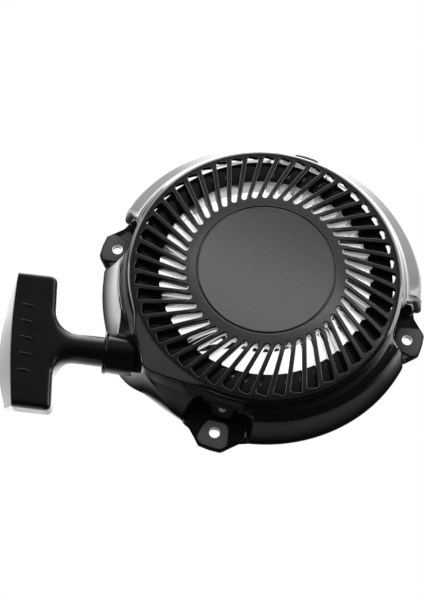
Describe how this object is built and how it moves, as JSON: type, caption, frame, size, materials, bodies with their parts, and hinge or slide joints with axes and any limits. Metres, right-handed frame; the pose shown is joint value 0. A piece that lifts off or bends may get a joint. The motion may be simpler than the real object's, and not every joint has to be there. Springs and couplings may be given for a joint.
{
  "type": "recoil starter",
  "caption": "Round pull-cord starter housing with a slotted air grille, four mounting ears, side rope outlet with T-grip, and a spring-loaded rope pulley with pawls inside.",
  "frame": {"origin": "centre of the four mounting holes on the pulley axis, on the underside plane of the mounting ears", "axes": "+Z along the pulley axis out of the grille face, rope and handle leave along -X, mounting holes on a 145 mm square turned 11.75 degrees clockwise from the axes"},
  "size_m": [0.278, 0.224, 0.0476],
  "materials": {
    "shell_plastic": "glossy black moulded plastic with a satin grained face",
    "grip_plastic": "fine-textured black, glossy on the edges",
    "pulley_nylon": "satin",
    "pawl_nylon": "satin",
    "zinc_steel": "zinc plated",
    "spring_steel": "oiled, blue-grey",
    "rope": "braided cord, grey-brown"
  },
  "bodies": {
    "root": {"housing": "shell_plastic", "rope_guide": "zinc_steel", "mainspring": "spring_steel", "spring_keeper": "zinc_steel", "center_screw": "zinc_steel", "screw_washer": "zinc_steel", "rope_lead": "rope"},
    "pulley": {"pulley": "pulley_nylon", "rope_winding": "rope", "pulley_knot": "rope", "pawl_spring_1": "spring_steel", "pawl_spring_2": "spring_steel", "friction_spring": "spring_steel"},
    "pawl_1": {"pawl_1": "pawl_nylon"},
    "pawl_2": {"pawl_2": "pawl_nylon"},
    "guide_plate": {"guide_plate": "zinc_steel"},
    "handle": {"handle_body": "grip_plastic", "handle_cap": "grip_plastic", "rope_pull": "rope", "handle_knot": "rope", "rope_anchor": "zinc_steel"}
  },
  "joints": [
    {"name": "handle_pull", "type": "slide", "parent": "root", "child": "handle", "axis": [-1, 0, 0], "range_m": [0, 0.8]},
    {"name": "pulley_spin", "type": "hinge", "parent": "root", "child": "pulley", "pos_m": [0, 0, 0.02], "axis": [0, 0, 1], "range_deg": [-1100, 0], "deforming": ["mainspring", "rope_winding"]},
    {"name": "guide_plate_turn", "type": "hinge", "parent": "pulley", "child": "guide_plate", "pos_m": [0, 0, 0.0088], "axis": [0, 0, 1], "range_deg": [0, 25]},
    {"name": "pawl_1_swing", "type": "hinge", "parent": "pulley", "child": "pawl_1", "pos_m": [-0.0125, 0.02165, 0.0118], "axis": [0, 0, 1], "range_deg": [0, 20]},
    {"name": "pawl_2_swing", "type": "hinge", "parent": "pulley", "child": "pawl_2", "pos_m": [0.0125, -0.02165, 0.0118], "axis": [0, 0, 1], "range_deg": [0, 20]}
  ],
  "couplings": [
    {"joint": "pulley_spin", "follows": "handle_pull", "rad_per_m": -23.753},
    {"joint": "pawl_1_swing", "follows": "guide_plate_turn", "ratio": 0.8},
    {"joint": "pawl_2_swing", "follows": "guide_plate_turn", "ratio": 0.8}
  ]
}
